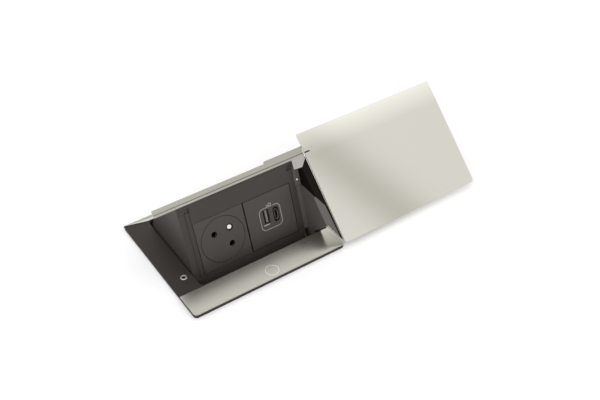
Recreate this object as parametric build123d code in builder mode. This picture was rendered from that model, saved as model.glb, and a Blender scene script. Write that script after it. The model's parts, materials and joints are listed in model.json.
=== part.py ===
from build123d import *
import os
from math import cos, sin, radians, sqrt, asin

os.makedirs("parts", exist_ok=True)

# A power module that drops into a cut-out in a desk. A press on the front
# strip lets the socket unit swing up, and the brushed lid then slides away
# to the right. All sizes are in millimetres. X runs along the front strip,
# Y towards the back, and Z = 0 is the top of the desk.

# Driving sizes of the frame
flange = 3.0
trim_sheet = 1.2
strip_depth = 24.0
strip_drop = 2.3
corner_radius = 3.0
seat_band = 3.0
seat_recess = 0.5

# The opening and the tub below it
left_strip = 20.0
right_strip = 5.0
rear_strip = 5.4
opening_lap = 2.0
opening_radius = 4.0
tub_wall = 1.6
tub_lap = 1.6
tub_depth = 85.0
front_wall_inset = 3.4

# The swinging unit, given as it stands when it is shut
pivot_back = 10.0
pivot_drop = 29.3
open_angle = 42.3
pivot_pin_radius = 2.5
pin_clearance = 0.05
arm_radius = 4.5
cheek = 1.8
side_clearance = 1.0
skirt_clearance = 2.0
unit_skin = 2.0
panel_heel = 10.0
floor_inset = 42.0
floor_down = 42.0

# Lid and rear cover
lid_sheet = 0.9
lid_gap = 0.9
lid_clearance = 0.3
lid_bevel = 0.8
trim_bevel = 0.7
cover_sheet = 0.8
rail_back = 18.9
rail_depth = 7.0
rail_groove = 0.4
rail_groove_back = 2.2
rail_left_inset = 2.3
rail_right_inset = 0.3
skirt_tuck = 6.0
link_reach = 9.0
link_length = 43.0
link_depth = 4.2
link_clearance = 0.3
slit_width = 1.2
slit_behind = 5.1

# Socket panel
left_border = 9.7
right_border = 6.3
end_gap = 7.0
panel_pitch = 28.9
panel_lead = 1.5
panel_drop = 3.3
panel_foot = 40.72
panel_below = 10.2
module_size = 45.0
module_lead = 14.8
module_gap = 0.3
module_joint = 1.0
module_depth = 28.0
cover_thick = 3.0
cover_wall = 1.4
cover_wall_depth = 14.0
lug = 0.8
bezel_step = 0.6
border_step = 0.6
border_tread = 3.6
right_lip = 3.0
notch_height = 4.2
notch_deep = 1.4

# Socket details
disc_radius = 19.5
disc_groove = 0.4
disc_thick = 3.0
disc_travel = 10.0
hole_spacing = 19.0
hole_radius = 2.6
core_block = 33.4
pin_radius = 2.4
earth_offset = 10.7
socket_turn = 45.0

# Charger details
usb_a_width = 4.8
usb_a_length = 12.6
usb_c_width = 3.0
usb_c_length = 8.9
usb_spread = 4.3
shell_sheet = 0.4
shell_depth = 12.0
tongue_thick = 1.6
usb_a_tongue_length = 11.0
usb_c_tongue_length = 6.5
charger_depth = 24.0
board_thick = 1.6

# Small pieces of the unit
bracket_height = 10.5
bracket_sheet = 1.0
bezel_screw_radius = 1.3
bezel_screw_head = 0.8
bezel_screw_down = 17.0

# Clamp
screw_left = 13.4
screw_front = 42.6
screw_radius = 3.2
screw_head = 1.4
screw_shaft = 1.7
clamp_drop = 26.0
jaw_length = 20.0
jaw_height = 6.0
jaw_width = 6.6
boss_wall = 1.6
boss_drop = 3.0

# Right-hand end of the unit
wall_front = 34.0
wall_low = 5.0
wall_rise = 34.0
mitre_front = 45.9
mitre_rear = 59.4
seal_front = 50.0
seal_tail = 4.0
seal_run = 28.0
seal_sheet = 0.9
seal_clearance = 0.6

# Mains entry
gland_radius = 5.5
gland_bore = 3.5
gland_drop = 12.0
gland_right = 30.0
gland_back = 78.0
pin_head = 1.0
pin_reach = 2.5

# Sizes that follow from those above
panel_length = module_lead + module_size + panel_below
pitch = radians(panel_pitch)
frame_width = panel_foot + panel_length * cos(pitch) + panel_lead + rail_back
unit_width = left_border + 2 * module_size + right_border + end_gap
frame_length = left_strip + unit_width + 2 * side_clearance + right_strip
half_length = frame_length / 2
half_width = frame_width / 2
top = flange + trim_sheet
strip_top = top - strip_drop
left = -half_length + left_strip
right = half_length - right_strip
front_y = -half_width
opening_front = front_y + strip_depth + opening_lap
opening_rear = half_width - rear_strip
pivot_y = front_y + pivot_back
pivot_z = -pivot_drop
lid_under = top - lid_sheet
rail_top = lid_under - lid_clearance
unit_left = left + side_clearance
unit_right = right - side_clearance
tub_left = left - tub_lap
tub_right = right + tub_lap
tub_front = front_y + front_wall_inset
tub_rear = opening_rear + tub_wall
skirt_radius = opening_rear - skirt_clearance - pivot_y
rail_front = frame_width - rail_back
opening_length = right - left
opening_width = opening_rear - opening_front

# The unit's own plane: it passes through the pivot and turns with the unit.
# Points on it are those of the shut unit, counted from the pivot.
unit = Plane(
    origin=(0, pivot_y, pivot_z),
    x_dir=(1, 0, 0),
    z_dir=(0, -sin(radians(open_angle)), cos(radians(open_angle))),
)


def unit_side(x):
    """A plane across the unit at x, for profiles drawn from its side."""
    return Plane(origin=unit.origin + Vector(x, 0, 0), x_dir=unit.y_dir, z_dir=(1, 0, 0))


def shut(back, height):
    """A point of the shut unit, from the frame's front edge and the desk."""
    return (front_y + back - pivot_y, height - pivot_z)


# Points of the shut unit's side view, counted from the pivot
top_line = top - pivot_z
lid_line = lid_under - pivot_z
rail_line = rail_top - pivot_z
panel_top = shut(rail_front - panel_lead, top - panel_drop)
panel_end = (panel_top[0] - cos(pitch) * panel_length, panel_top[1] - sin(pitch) * panel_length)
inner_radius = skirt_radius - cover_sheet
panel_right = unit_right - end_gap


def behind_panel(along, deep):
    """A side-view point a distance along the panel from its top, and behind it."""
    return (
        panel_top[0] - cos(pitch) * along + sin(pitch) * deep,
        panel_top[1] - sin(pitch) * along - cos(pitch) * deep,
    )


# The panel's own plane as it stands when the unit is up: X right, Y up the
# panel, Z out of it, with its origin in the middle of the two modules.
face_angle = radians(open_angle + panel_pitch)
middle = behind_panel(module_lead + module_size / 2, 0)
modules_x = unit_left + left_border + module_size
swing = radians(open_angle)
face = Plane(
    origin=(
        modules_x,
        pivot_y + middle[0] * cos(swing) - middle[1] * sin(swing),
        pivot_z + middle[0] * sin(swing) + middle[1] * cos(swing),
    ),
    x_dir=(1, 0, 0),
    z_dir=(0, -sin(face_angle), cos(face_angle)),
)
cover_width = module_size - module_joint / 2
panel_half = module_lead + module_size / 2
border_run = panel_length - 2 * arm_radius
module_pitch = (cover_width + module_joint) / 2
socket_x = -module_pitch
usb_x = module_pitch
screw_x = -half_length + screw_left
screw_y = front_y + screw_front
gland_x = half_length - gland_right
gland_y = front_y + gland_back

# Flange: the plastic frame that rests on the desk
with BuildPart() as flange_frame:
    with BuildSketch(Plane.XY):
        Rectangle(frame_length, frame_width)
    extrude(amount=flange)
    fillet(flange_frame.edges().filter_by(Axis.Z), corner_radius)
    # the strips beside and behind the opening lie lower, under the lid
    with BuildSketch(Plane.XY.offset(strip_top)):
        with Locations((0, strip_depth / 2)):
            Rectangle(frame_length, frame_width - strip_depth)
    extrude(amount=flange, mode=Mode.SUBTRACT)
    # underside: only a narrow band round the edge rests on the desk
    with BuildSketch(Plane.XY):
        Rectangle(frame_length - 2 * seat_band, frame_width - 2 * seat_band)
        with Locations(((tub_left + tub_right) / 2, (tub_front + tub_rear) / 2)):
            RectangleRounded(
                tub_right - tub_left, tub_rear - tub_front, opening_radius, mode=Mode.SUBTRACT
            )
    extrude(amount=seat_recess, mode=Mode.SUBTRACT)
    # a boss carries the clamp screw
    with BuildSketch(Plane.XY.offset(-boss_drop)):
        with Locations((screw_x, screw_y)):
            Circle(screw_radius + boss_wall)
    extrude(amount=boss_drop + strip_top)
    # the opening
    with BuildSketch(Plane.XY):
        with Locations(((left + right) / 2, (opening_front + opening_rear) / 2)):
            RectangleRounded(opening_length, opening_width, opening_radius)
    extrude(amount=flange, mode=Mode.SUBTRACT)
    # seat and hole of the clamp screw
    with BuildSketch(Plane.XY.offset(strip_top)):
        with Locations((screw_x, screw_y)):
            Circle(screw_radius + pin_clearance)
    extrude(amount=-screw_head, mode=Mode.SUBTRACT)
    with BuildSketch(Plane.XY.offset(strip_top)):
        with Locations((screw_x, screw_y)):
            Circle(screw_shaft + pin_clearance)
    extrude(amount=-(strip_top + boss_drop), mode=Mode.SUBTRACT)
flange_frame.part.label = "flange_frame"
export_step(flange_frame.part, "parts/flange_frame.step")

# Tub: the box below the desk that the unit swings down into
with BuildPart() as tub:
    with BuildSketch(Plane.XY):
        with Locations(((tub_left + tub_right) / 2, (tub_front + tub_rear) / 2)):
            RectangleRounded(tub_right - tub_left, tub_rear - tub_front, opening_radius)
    extrude(amount=-tub_depth)
    with BuildSketch(Plane.XY):
        with Locations(((tub_left + tub_right) / 2, (tub_front + tub_rear) / 2)):
            RectangleRounded(
                tub_right - tub_left - 2 * tub_wall,
                tub_rear - tub_front - 2 * tub_wall,
                opening_radius - tub_wall,
            )
    extrude(amount=-(tub_depth - tub_wall), mode=Mode.SUBTRACT)
    # holes for the pivot pins
    with BuildSketch(Plane.YZ.offset(tub_left)):
        with Locations((pivot_y, pivot_z)):
            Circle(pivot_pin_radius + pin_clearance)
    extrude(amount=tub_right - tub_left, mode=Mode.SUBTRACT)
    # hole for the mains entry in the floor
    with BuildSketch(Plane.XY.offset(-tub_depth)):
        with Locations((gland_x, gland_y)):
            Circle(gland_radius + pin_clearance)
    extrude(amount=tub_wall, mode=Mode.SUBTRACT)
tub.part.label = "tub"
export_step(tub.part, "parts/tub.step")

# Brushed strip along the front of the frame
with BuildPart() as front_trim:
    with BuildSketch(Plane.XY.offset(flange)):
        with Locations((0, front_y + strip_depth / 2)):
            Rectangle(frame_length, strip_depth)
    extrude(amount=trim_sheet)
    fillet(front_trim.edges().filter_by(Axis.Z).group_by(Axis.Y)[0], corner_radius)
    chamfer(front_trim.faces().sort_by(Axis.Z)[-1].edges().sort_by(Axis.Y)[-1], trim_bevel)
front_trim.part.label = "front_trim"
export_step(front_trim.part, "parts/front_trim.step")

# Brushed strip along the back edge, under the shut lid
with BuildPart() as rear_trim:
    with BuildSketch(Plane.XY.offset(strip_top)):
        with Locations((0, half_width - rear_strip / 2)):
            Rectangle(frame_length, rear_strip)
    extrude(amount=cover_sheet)
    fillet(rear_trim.edges().filter_by(Axis.Z).group_by(Axis.Y)[-1], corner_radius)
rear_trim.part.label = "rear_trim"
export_step(rear_trim.part, "parts/rear_trim.step")

# Clamp: a screw from above pulls a jaw up under the desk
with BuildPart() as clamp_screw:
    with BuildSketch(Plane.XY.offset(strip_top)):
        with Locations((screw_x, screw_y)):
            Circle(screw_radius)
    extrude(amount=-screw_head)
    with BuildSketch(Plane.XY.offset(strip_top - screw_head)):
        with Locations((screw_x, screw_y)):
            Circle(screw_shaft)
    extrude(amount=-(clamp_drop + jaw_height))
    with BuildSketch(Plane.XY.offset(strip_top)):
        with Locations((screw_x, screw_y)):
            RegularPolygon(screw_radius / 2, 6)
    extrude(amount=-screw_head / 2, mode=Mode.SUBTRACT)
clamp_screw.part.label = "clamp_screw"
export_step(clamp_screw.part, "parts/clamp_screw.step")

with BuildPart() as clamp_jaw:
    with BuildSketch(Plane.XY.offset(-clamp_drop)):
        with Locations((screw_x, screw_y + jaw_length / 2 - jaw_width / 2)):
            SlotOverall(jaw_length, jaw_width, rotation=90)
        with Locations((screw_x, screw_y)):
            Circle(screw_shaft + pin_clearance, mode=Mode.SUBTRACT)
    extrude(amount=jaw_height)
clamp_jaw.part.label = "clamp_jaw"
export_step(clamp_jaw.part, "parts/clamp_jaw.step")

# Mains entry in the floor of the tub
with BuildPart() as cable_gland:
    with BuildSketch(Plane.XY.offset(-tub_depth + tub_wall)):
        with Locations((gland_x, gland_y)):
            Circle(gland_radius)
    extrude(amount=-gland_drop)
    with BuildSketch(Plane.XY.offset(-tub_depth)):
        with Locations((gland_x, gland_y)):
            RegularPolygon(gland_radius + boss_wall, 6)
    extrude(amount=-gland_drop / 2)
    with BuildSketch(Plane.XY.offset(-tub_depth + tub_wall)):
        with Locations((gland_x, gland_y)):
            Circle(gland_bore)
    extrude(amount=-gland_drop, mode=Mode.SUBTRACT)
cable_gland.part.label = "cable_gland"
export_step(cable_gland.part, "parts/cable_gland.step")

# Pivot pins, one in each side wall of the tub
with BuildPart() as pivot_pins:
    with BuildSketch(Plane.YZ.offset(tub_left - pin_head)):
        with Locations((pivot_y, pivot_z)):
            Circle(pivot_pin_radius + pin_head)
    extrude(amount=pin_head)
    with BuildSketch(Plane.YZ.offset(tub_left)):
        with Locations((pivot_y, pivot_z)):
            Circle(pivot_pin_radius)
    extrude(amount=unit_left + cheek + pin_reach - tub_left)
    with BuildSketch(Plane.YZ.offset(tub_right)):
        with Locations((pivot_y, pivot_z)):
            Circle(pivot_pin_radius + pin_head)
    extrude(amount=pin_head)
    with BuildSketch(Plane.YZ.offset(tub_right)):
        with Locations((pivot_y, pivot_z)):
            Circle(pivot_pin_radius)
    extrude(amount=-(tub_right - panel_right + cheek + pin_reach))
pivot_pins.part.label = "pivot_pins"
export_step(pivot_pins.part, "parts/pivot_pins.step")

# Carrier: the swinging box behind the socket panel
rail_under = rail_line - cover_sheet
rear_reach = sqrt((inner_radius - link_clearance) ** 2 - rail_under**2)
floor_front = behind_panel(panel_length, panel_heel)
floor_rear = (inner_radius - floor_inset, -floor_down)
rear_low_angle = asin((-skirt_tuck - pivot_z) / inner_radius) - swing
carrier_radius = inner_radius - link_clearance
rear_low = (carrier_radius * cos(rear_low_angle), carrier_radius * sin(rear_low_angle))
with BuildPart() as carrier:
    with BuildSketch(unit_side(unit_left)):
        with BuildLine():
            Polyline(
                (rear_reach, rail_under),
                (panel_top[0] + panel_drop / 2, rail_under),
                panel_top,
                panel_end,
                floor_front,
                floor_rear,
                rear_low,
            )
            ThreePointArc(rear_low, (carrier_radius, 0), (rear_reach, rail_under))
        make_face()
    extrude(amount=panel_right - unit_left)
    # the inside is open at the back, where the rear cover closes it
    with BuildSketch(unit_side(unit_left + cheek)):
        with BuildLine():
            Polyline(
                (skirt_radius, rail_under - unit_skin),
                (panel_top[0] + unit_skin, rail_under - unit_skin),
                behind_panel(unit_skin, unit_skin),
                behind_panel(panel_length - unit_skin, unit_skin),
                behind_panel(panel_length - unit_skin, panel_heel - unit_skin),
                (floor_rear[0] + unit_skin, floor_rear[1] + unit_skin),
                (rear_low[0], rear_low[1] + unit_skin),
                (skirt_radius, rear_low[1] + unit_skin),
                close=True,
            )
        make_face()
    extrude(amount=panel_right - unit_left - 2 * cheek, mode=Mode.SUBTRACT)
    # an arm on each cheek reaches down to the pivot
    for arm_x in (unit_left, panel_right - cheek):
        with BuildSketch(unit_side(arm_x)):
            with BuildLine():
                Polyline(
                    (0, arm_radius),
                    behind_panel(panel_length - arm_radius, 0),
                    floor_front,
                    (0, -arm_radius),
                    close=True,
                )
            make_face()
            Circle(arm_radius)
        extrude(amount=cheek)
    # pivot holes
    with BuildSketch(unit_side(unit_left)):
        Circle(pivot_pin_radius + pin_clearance)
    extrude(amount=panel_right - unit_left, mode=Mode.SUBTRACT)
    # window for the two modules
    with BuildSketch(face):
        Rectangle(2 * cover_width + module_joint + 2 * module_gap, module_size + 2 * module_gap)
    extrude(amount=-unit_skin, mode=Mode.SUBTRACT)
    # the panel steps down at both sides of the modules
    with BuildSketch(face):
        for step_x, step_width in (
            (unit_left - modules_x, left_border - module_gap),
            (panel_right - modules_x - right_border + right_lip, right_border - right_lip),
        ):
            with Locations((step_x, panel_half)):
                Rectangle(step_width, border_run, align=(Align.MIN, Align.MAX))
    extrude(amount=-border_step, mode=Mode.SUBTRACT)
    with BuildSketch(face.offset(-border_step)):
        with Locations((unit_left - modules_x, panel_half)):
            Rectangle(
                left_border - module_gap - border_tread, border_run, align=(Align.MIN, Align.MAX)
            )
    extrude(amount=-border_step, mode=Mode.SUBTRACT)
    # a notch in each upper corner of the panel
    with BuildSketch(face):
        with Locations((unit_left - modules_x, panel_half)):
            Rectangle(left_border, 2 * notch_height, align=(Align.MIN, Align.CENTER))
        with Locations((panel_right - modules_x, panel_half)):
            Rectangle(right_border, 2 * notch_height, align=(Align.MAX, Align.CENTER))
    extrude(amount=-notch_deep, mode=Mode.SUBTRACT)
carrier.part.label = "carrier"
export_step(carrier.part, "parts/carrier.step")

# Rear cover: a bent sheet with a rail along its top and a curved skirt
rail_start = shut(rail_front, 0)[0]
skirt_low = asin((-skirt_tuck - pivot_z) / skirt_radius) - swing
skirt_top = asin(rail_under / skirt_radius)
skirt_mid = (skirt_low + skirt_top) / 2
with BuildPart() as rear_cover:
    with BuildSketch(unit_side(-half_length + rail_left_inset)):
        with BuildLine():
            Polyline(
                (rail_start, rail_under),
                (rail_start + rail_depth, rail_under),
                (rail_start + rail_depth, rail_line),
                (rail_start, rail_line),
                close=True,
            )
        make_face()
    extrude(amount=frame_length - rail_left_inset - rail_right_inset)
    # a fine groove runs along the rail
    with BuildSketch(unit.offset(rail_line)):
        with Locations((0, rail_start + rail_groove_back)):
            Rectangle(frame_length, rail_groove)
    extrude(amount=-rail_groove, mode=Mode.SUBTRACT)
    with BuildSketch(unit_side(unit_left)):
        with BuildLine():
            ThreePointArc(
                (skirt_radius * cos(skirt_low), skirt_radius * sin(skirt_low)),
                (skirt_radius * cos(skirt_mid), skirt_radius * sin(skirt_mid)),
                (skirt_radius * cos(skirt_top), rail_under),
            )
            Line(
                (skirt_radius * cos(skirt_top), rail_under),
                (sqrt(inner_radius**2 - rail_under**2), rail_under),
            )
            ThreePointArc(
                (sqrt(inner_radius**2 - rail_under**2), rail_under),
                (inner_radius * cos(skirt_mid), inner_radius * sin(skirt_mid)),
                (inner_radius * cos(skirt_low), inner_radius * sin(skirt_low)),
            )
            Line(
                (inner_radius * cos(skirt_low), inner_radius * sin(skirt_low)),
                (skirt_radius * cos(skirt_low), skirt_radius * sin(skirt_low)),
            )
        make_face()
    extrude(amount=unit_width)
rear_cover.part.label = "rear_cover"
export_step(rear_cover.part, "parts/rear_cover.step")

# End wall and its black seal, on the right of the unit
wall_top = lid_line - seal_clearance
seal_x = unit_right - seal_sheet
wall_x = seal_x - cheek
flange_right = half_length - rail_right_inset
lid_front = shut(strip_depth + lid_gap, 0)[0]
# the flange's front corner swings round, just outside the front strip's edge
strip_reach = sqrt(shut(strip_depth, 0)[0] ** 2 + top_line**2)
flange_front = sqrt((strip_reach + lid_clearance) ** 2 - rail_under**2)

with BuildPart() as end_wall:
    with BuildSketch(unit_side(wall_x)):
        with BuildLine():
            Polyline(
                (0, arm_radius),
                (wall_front, wall_low),
                (wall_front, wall_top),
                (panel_top[0] - unit_skin, wall_top),
                behind_panel(unit_skin, arm_radius),
                floor_front,
                (0, -arm_radius),
            )
            CenterArc((0, 0), arm_radius, 90, 180)
        make_face()
    extrude(amount=cheek)
    # a collar on the pivot keeps it clear of the carrier
    with BuildSketch(unit_side(wall_x)):
        Circle(arm_radius)
    extrude(amount=-(wall_x - panel_right))
    with BuildSketch(unit_side(panel_right)):
        Circle(pivot_pin_radius + pin_clearance)
    extrude(amount=unit_right - panel_right, mode=Mode.SUBTRACT)
    # a return closes the slit between the wall and the panel
    with BuildSketch(face.offset(-2 * border_step)):
        with Locations((panel_right - modules_x, panel_half - bracket_height)):
            Rectangle(
                wall_x - panel_right, border_run - bracket_height, align=(Align.MIN, Align.MAX)
            )
    extrude(amount=-cheek)
    # its top edge is level when the unit is up
    with BuildSketch(Plane.XY.offset(wall_rise)):
        Rectangle(2 * frame_length, 2 * frame_width)
    extrude(amount=frame_width, mode=Mode.SUBTRACT)
    # a thin flange under the left edge of the lid, with a slanted tip
    with BuildSketch(unit.offset(rail_under)):
        with BuildLine():
            Polyline(
                (wall_x, wall_front),
                (wall_x, mitre_rear),
                (seal_x, mitre_rear),
                (flange_right, mitre_front),
                (flange_right, flange_front),
                (seal_x, wall_front),
                close=True,
            )
        make_face()
    extrude(amount=cover_sheet)
end_wall.part.label = "end_wall"
export_step(end_wall.part, "parts/end_wall.step")

with BuildPart() as side_seal:
    with BuildSketch(unit_side(seal_x)):
        with BuildLine():
            Polyline(
                (seal_front, rail_under),
                (rail_start, rail_under),
                behind_panel(unit_skin, arm_radius),
                behind_panel(seal_run, arm_radius),
                (seal_front, rail_under - seal_tail),
                close=True,
            )
        make_face()
    extrude(amount=seal_sheet)
    # its flange carries on from the wall's, up to the rail
    with BuildSketch(unit.offset(rail_under)):
        with BuildLine():
            Polyline(
                (seal_x, mitre_rear),
                (seal_x, rail_start),
                (flange_right, rail_start),
                (flange_right, mitre_front),
                close=True,
            )
        make_face()
    extrude(amount=cover_sheet)
side_seal.part.label = "side_seal"
export_step(side_seal.part, "parts/side_seal.step")

# Lid: a brushed sheet in the unit's top plane, drawn slid to the right
lid_rear = shut(frame_width, 0)[0]
lid_plane = unit.offset(lid_line)
with BuildPart() as lid:
    with BuildSketch(lid_plane):
        with Locations((frame_length, (lid_front + lid_rear) / 2)):
            Rectangle(frame_length, lid_rear - lid_front)
    extrude(amount=lid_sheet)
    fillet(lid.edges().filter_by(Axis(unit.origin, unit.z_dir)).group_by(Axis.Y)[0], corner_radius)
    # the front lower edge is bevelled to pass the front strip
    with BuildSketch(unit_side(half_length)):
        with BuildLine():
            Polyline(
                (lid_front, lid_line),
                (lid_front + lid_bevel, lid_line),
                (lid_front, lid_line + lid_bevel),
                close=True,
            )
        make_face()
    extrude(amount=frame_length, mode=Mode.SUBTRACT)
    # a short groove in the left edge, over the slide link
    with BuildSketch(lid_plane.offset(lid_sheet)):
        with Locations((half_length, rail_start + slit_behind)):
            SlotOverall(2 * link_reach, slit_width)
    extrude(amount=-lid_sheet / 2, mode=Mode.SUBTRACT)
lid.part.label = "lid"
export_step(lid.part, "parts/lid.step")

# Slide link: the middle member between the rail and the lid
link_front = rail_start + rail_depth + link_clearance
with BuildPart() as slide_link:
    with BuildSketch(unit.offset(rail_under)):
        with Locations((half_length + link_reach - link_length / 2, link_front + link_depth / 2)):
            Rectangle(link_length, link_depth)
    extrude(amount=cover_sheet)
    fillet(slide_link.edges().filter_by(Axis(unit.origin, unit.z_dir)).group_by(Axis.X)[-1], link_depth / 3)
slide_link.part.label = "slide_link"
export_step(slide_link.part, "parts/slide_link.step")

# Socket cover with the round well for its disc
with BuildPart() as socket_cover:
    with BuildSketch(face):
        with Locations((socket_x, 0)):
            Rectangle(cover_width, module_size)
    extrude(amount=-cover_thick)
    with BuildSketch(face.offset(-unit_skin)):
        with Locations((socket_x - lug / 2, 0)):
            Rectangle(cover_width + lug, module_size + 2 * module_gap + 2 * lug)
    extrude(amount=-(cover_thick - unit_skin))
    with BuildSketch(face.offset(-cover_thick)):
        with Locations((socket_x, 0)):
            Rectangle(cover_width, module_size)
            Rectangle(cover_width - 2 * cover_wall, module_size - 2 * cover_wall, mode=Mode.SUBTRACT)
    extrude(amount=-cover_wall_depth)
    with BuildSketch(face):
        with Locations((socket_x, 0)):
            Circle(disc_radius + disc_groove)
    extrude(amount=-cover_thick, mode=Mode.SUBTRACT)
socket_cover.part.label = "socket_cover"
export_step(socket_cover.part, "parts/socket_cover.step")

# The holes turn with the socket: two live holes and the earth pin between them
turn = radians(socket_turn)
hole_points = [
    (socket_x + side * hole_spacing / 2 * cos(turn), -side * hole_spacing / 2 * sin(turn))
    for side in (-1, 1)
]
earth_point = (socket_x + earth_offset * sin(turn), earth_offset * cos(turn))
with BuildPart() as socket_disc:
    with BuildSketch(face):
        with Locations((socket_x, 0)):
            Circle(disc_radius)
        with Locations(*hole_points):
            Circle(hole_radius, mode=Mode.SUBTRACT)
        with Locations(earth_point):
            Circle(hole_radius + disc_groove, mode=Mode.SUBTRACT)
    extrude(amount=-disc_thick)
socket_disc.part.label = "socket_disc"
export_step(socket_disc.part, "parts/socket_disc.step")

# Core behind the disc, with its contacts and the earth pin
core_front = cover_thick + cover_wall_depth
with BuildPart() as socket_core:
    with BuildSketch(face.offset(-core_front)):
        with Locations((socket_x, 0)):
            Rectangle(cover_width, module_size)
    extrude(amount=-(module_depth - core_front))
    with BuildSketch(face.offset(-core_front)):
        with Locations((socket_x, 0)):
            RectangleRounded(core_block, core_block, pin_radius)
    extrude(amount=core_front - disc_thick - disc_travel - disc_groove)
    with BuildSketch(face.offset(-core_front)):
        with Locations(*hole_points):
            Circle(hole_radius + disc_groove)
        with Locations(earth_point):
            Circle(pin_radius + pin_clearance)
    extrude(amount=core_front, mode=Mode.SUBTRACT)
    with BuildSketch(face.offset(-core_front)):
        with Locations(*hole_points):
            Circle(hole_radius + disc_groove)
    extrude(amount=-unit_skin, mode=Mode.SUBTRACT)
socket_core.part.label = "socket_core"
export_step(socket_core.part, "parts/socket_core.step")

with BuildPart() as earth_pin:
    with BuildSketch(face.offset(-core_front)):
        with Locations(earth_point):
            Circle(pin_radius)
    extrude(amount=core_front)
    fillet(earth_pin.faces().sort_by(Axis(face.origin, face.z_dir))[-1].edges(), pin_radius / 2)
earth_pin.part.label = "earth_pin"
export_step(earth_pin.part, "parts/earth_pin.step")

with BuildPart() as contacts:
    with BuildSketch(face.offset(-core_front - unit_skin)):
        with Locations(*hole_points):
            Circle(hole_radius + disc_groove)
            Circle(hole_radius - disc_groove, mode=Mode.SUBTRACT)
    extrude(amount=core_front + unit_skin - disc_thick - disc_travel - 2 * disc_groove)
contacts.part.label = "contacts"
export_step(contacts.part, "parts/contacts.step")

# Charger: cover with a slot for each port
with BuildPart() as usb_cover:
    with BuildSketch(face):
        with Locations((usb_x, 0)):
            Rectangle(cover_width, module_size)
    extrude(amount=-cover_thick)
    with BuildSketch(face.offset(-unit_skin)):
        with Locations((usb_x + lug / 2, 0)):
            Rectangle(cover_width + lug, module_size + 2 * module_gap + 2 * lug)
    extrude(amount=-(cover_thick - unit_skin))
    with BuildSketch(face):
        with Locations((usb_x - usb_spread, 0)):
            RectangleRounded(usb_a_width, usb_a_length, disc_groove)
        with Locations((usb_x + usb_spread, 0)):
            SlotOverall(usb_c_length, usb_c_width, rotation=90)
    extrude(amount=-cover_thick, mode=Mode.SUBTRACT)
usb_cover.part.label = "usb_cover"
export_step(usb_cover.part, "parts/usb_cover.step")

# Metal shells of the two ports
a_x = usb_x - usb_spread
c_x = usb_x + usb_spread
with BuildPart() as usb_a_shell:
    with BuildSketch(face.offset(-bezel_step)):
        with Locations((a_x, 0)):
            RectangleRounded(usb_a_width, usb_a_length, disc_groove)
    extrude(amount=-shell_depth)
    with BuildSketch(face.offset(-bezel_step)):
        with Locations((a_x, 0)):
            Rectangle(usb_a_width - 2 * shell_sheet, usb_a_length - 2 * shell_sheet)
    extrude(amount=-(shell_depth - shell_sheet), mode=Mode.SUBTRACT)
usb_a_shell.part.label = "usb_a_shell"
export_step(usb_a_shell.part, "parts/usb_a_shell.step")

with BuildPart() as usb_a_tongue:
    with BuildSketch(face.offset(-2 * bezel_step)):
        with Locations((a_x + usb_a_width / 2 - shell_sheet - tongue_thick / 2, 0)):
            Rectangle(tongue_thick, usb_a_tongue_length)
    extrude(amount=-(shell_depth - shell_sheet - bezel_step))
usb_a_tongue.part.label = "usb_a_tongue"
export_step(usb_a_tongue.part, "parts/usb_a_tongue.step")

with BuildPart() as usb_c_shell:
    with BuildSketch(face.offset(-bezel_step)):
        with Locations((c_x, 0)):
            SlotOverall(usb_c_length, usb_c_width, rotation=90)
    extrude(amount=-shell_depth)
    with BuildSketch(face.offset(-bezel_step)):
        with Locations((c_x, 0)):
            SlotOverall(
                usb_c_length - 2 * shell_sheet, usb_c_width - 2 * shell_sheet, rotation=90
            )
    extrude(amount=-(shell_depth - shell_sheet), mode=Mode.SUBTRACT)
usb_c_shell.part.label = "usb_c_shell"
export_step(usb_c_shell.part, "parts/usb_c_shell.step")

with BuildPart() as usb_c_tongue:
    with BuildSketch(face.offset(-2 * bezel_step)):
        with Locations((c_x, 0)):
            Rectangle(tongue_thick / 2, usb_c_tongue_length)
    extrude(amount=-(shell_depth - shell_sheet - bezel_step))
usb_c_tongue.part.label = "usb_c_tongue"
export_step(usb_c_tongue.part, "parts/usb_c_tongue.step")

# Board behind the ports, in a case that closes the charger's back
ports_back = bezel_step + shell_depth
with BuildPart() as usb_board:
    with BuildSketch(face.offset(-ports_back)):
        with Locations((usb_x, 0)):
            Rectangle(cover_width - 2 * cover_wall - shell_sheet, module_size - 2 * cover_wall - shell_sheet)
    extrude(amount=-board_thick)
usb_board.part.label = "usb_board"
export_step(usb_board.part, "parts/usb_board.step")

with BuildPart() as usb_case:
    with BuildSketch(face.offset(-cover_thick)):
        with Locations((usb_x, 0)):
            Rectangle(cover_width, module_size)
    extrude(amount=-(charger_depth - cover_thick))
    with BuildSketch(face.offset(-cover_thick)):
        with Locations((usb_x, 0)):
            Rectangle(cover_width - 2 * cover_wall, module_size - 2 * cover_wall)
    extrude(amount=-(ports_back + board_thick - cover_thick), mode=Mode.SUBTRACT)
usb_case.part.label = "usb_case"
export_step(usb_case.part, "parts/usb_case.step")

# Bright bracket under the rail, between the panel and the end wall
bracket_left = panel_right - modules_x - 2 * cheek
with BuildPart() as rail_bracket:
    with BuildSketch(face):
        with Locations(((bracket_left + wall_x - modules_x) / 2, panel_half - bracket_height / 2)):
            Rectangle(wall_x - modules_x - bracket_left - seal_clearance, bracket_height)
    extrude(amount=bracket_sheet)
rail_bracket.part.label = "rail_bracket"
export_step(rail_bracket.part, "parts/rail_bracket.step")

with BuildPart() as bezel_screw:
    with BuildSketch(face):
        with Locations((panel_right - modules_x - cheek, panel_half - bezel_screw_down)):
            Circle(bezel_screw_radius)
    extrude(amount=bezel_screw_head)
    fillet(bezel_screw.faces().sort_by(Axis(face.origin, face.z_dir))[-1].edges(), bezel_screw_head / 2)
bezel_screw.part.label = "bezel_screw"
export_step(bezel_screw.part, "parts/bezel_screw.step")
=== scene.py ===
"""Looks for the in-desk power module: brushed metal, moulded plastic and the studio round them."""

import json
import logging
import math
from dataclasses import dataclass
from enum import Enum
from typing import Sequence

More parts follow.
